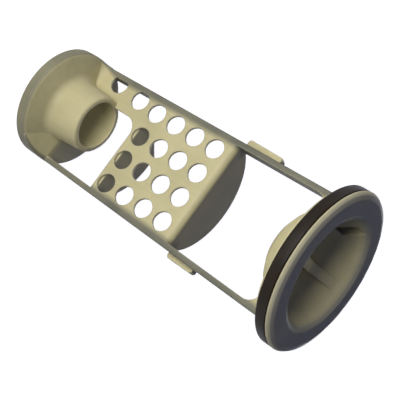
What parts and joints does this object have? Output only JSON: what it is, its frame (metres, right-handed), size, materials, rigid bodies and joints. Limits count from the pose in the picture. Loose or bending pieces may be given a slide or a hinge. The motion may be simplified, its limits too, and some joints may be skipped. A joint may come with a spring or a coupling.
{
  "type": "washer pump filter",
  "caption": "Moulded drain pump filter: a dished grip head with a rubber seal ring, side rails, a perforated deck with half walls and a plug end with a water tube.",
  "frame": {"origin": "middle of the open plug end, on the plane that the part stands on", "axes": "+Z along the filter's axis from the plug to the grip head, -Y out of the perforated deck, +X towards the rail without the strip"},
  "size_m": [0.062, 0.062, 0.1355],
  "materials": {
    "body_plastic": "satin moulded grey beige",
    "seal_rubber": "matt black brown"
  },
  "bodies": {
    "root": {"filter_body": "body_plastic", "seal_ring": "seal_rubber"}
  },
  "joints": []
}
